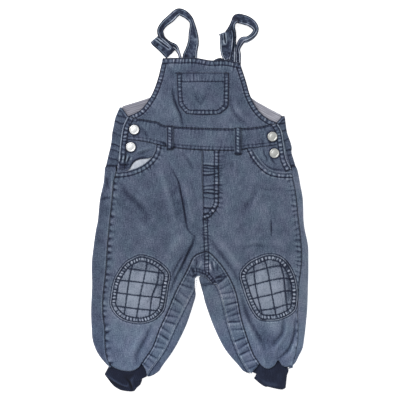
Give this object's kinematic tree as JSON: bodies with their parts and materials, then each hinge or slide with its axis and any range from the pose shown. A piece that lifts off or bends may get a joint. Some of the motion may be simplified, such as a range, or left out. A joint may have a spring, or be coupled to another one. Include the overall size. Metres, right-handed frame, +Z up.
{
  "type": "baby dungarees",
  "caption": "Baby dungarees in washed blue denim laid flat, with a bib and pocket, looped shoulder straps, metal side buttons, checked knee patches and dark rib cuffs",
  "frame": {"origin": "middle of the footprint, on the surface the garment lies on", "axes": "+X across the garment, to the wearer's left; +Y along it, to the shoulder straps; +Z up from the surface, out of the front"},
  "size_m": [0.3136, 0.5542, 0.0231],
  "materials": {
    "washed_denim": "washed cotton denim with dark double topstitching",
    "pale_denim": "pale denim with a stitched dark check",
    "navy_rib": "matt rib knit",
    "grey_lining": "fine striped jersey lining",
    "white_pocketing": "plain white cotton",
    "pale_metal": "satin domed metal button"
  },
  "bodies": {
    "root": {"back_bib": "washed_denim", "back_leg_left": "washed_denim", "back_leg_right": "washed_denim", "back_lining": "grey_lining", "belt_loop_left": "washed_denim", "belt_loop_right": "washed_denim", "bib_front": "washed_denim", "bib_pocket": "washed_denim", "button_lower_left": "pale_metal", "button_lower_right": "pale_metal", "button_upper_left": "pale_metal", "button_upper_right": "pale_metal", "cuff_left": "navy_rib", "cuff_right": "navy_rib", "fly_front": "washed_denim", "front_left": "washed_denim", "front_right": "washed_denim", "inseam_placket_left": "washed_denim", "inseam_placket_right": "washed_denim", "knee_patch_left": "pale_denim", "knee_patch_right": "pale_denim", "placket_left": "washed_denim", "placket_right": "washed_denim", "pocket_bag_left": "white_pocketing", "side_panel_left": "washed_denim", "side_panel_right": "washed_denim", "strap_end_left": "washed_denim", "strap_end_right": "washed_denim", "strap_left": "washed_denim", "strap_right": "washed_denim", "waistband_front": "washed_denim"}
  },
  "joints": []
}
